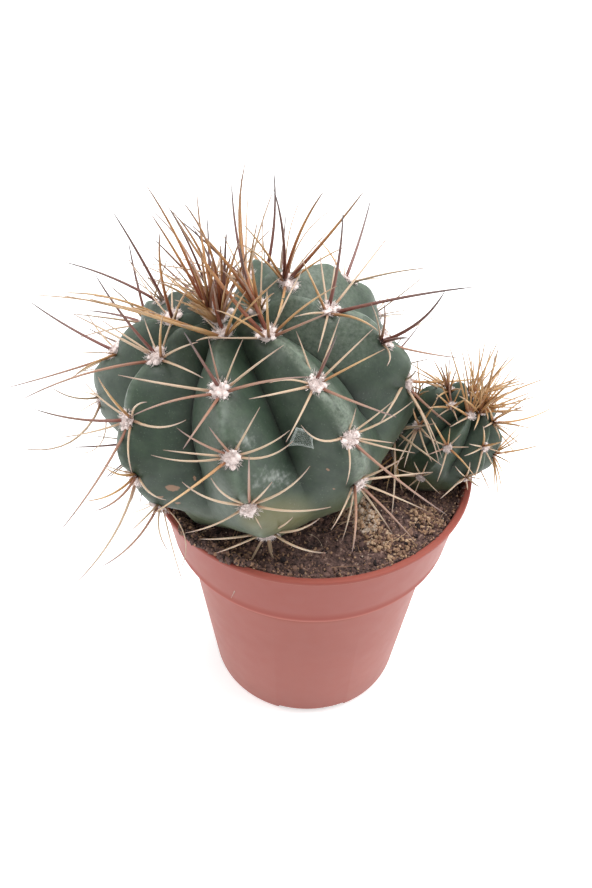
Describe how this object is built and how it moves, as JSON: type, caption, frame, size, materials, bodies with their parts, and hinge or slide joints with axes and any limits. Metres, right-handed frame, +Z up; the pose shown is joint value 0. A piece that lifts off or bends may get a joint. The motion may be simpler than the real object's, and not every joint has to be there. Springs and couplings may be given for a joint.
{
  "type": "potted turks cap cactus",
  "caption": "Round ribbed cactus with radiating spines on woolly areoles and a small offset at its side, growing in soil in a round plastic nursery pot.",
  "frame": {"origin": "centre of the pot's underside, on the surface that it stands on", "axes": "+Z up along the pot's axis, +X towards the offset, -Y towards the side that the picture shows"},
  "size_m": [0.1305, 0.1116, 0.1603],
  "materials": {
    "pot_plastic": "thin moulded polypropylene in terracotta pink, satin, with fine mould marks and a little dust",
    "soil": "dark damp peat with pale mineral grains and tan fibre clumps, rough",
    "stem_skin": "waxy blue-green cactus skin with a pale bloom on the ribs and small tan scars",
    "areole_wool": "short felted wool, off-white with a pink tinge",
    "spines": "hard horny needles, cream to tan, dark reddish brown on the centrals and amber on the young ones"
  },
  "bodies": {
    "root": {"pot": "pot_plastic", "soil": "soil", "main_stem": "stem_skin", "offset_stem": "stem_skin"}
  },
  "joints": []
}
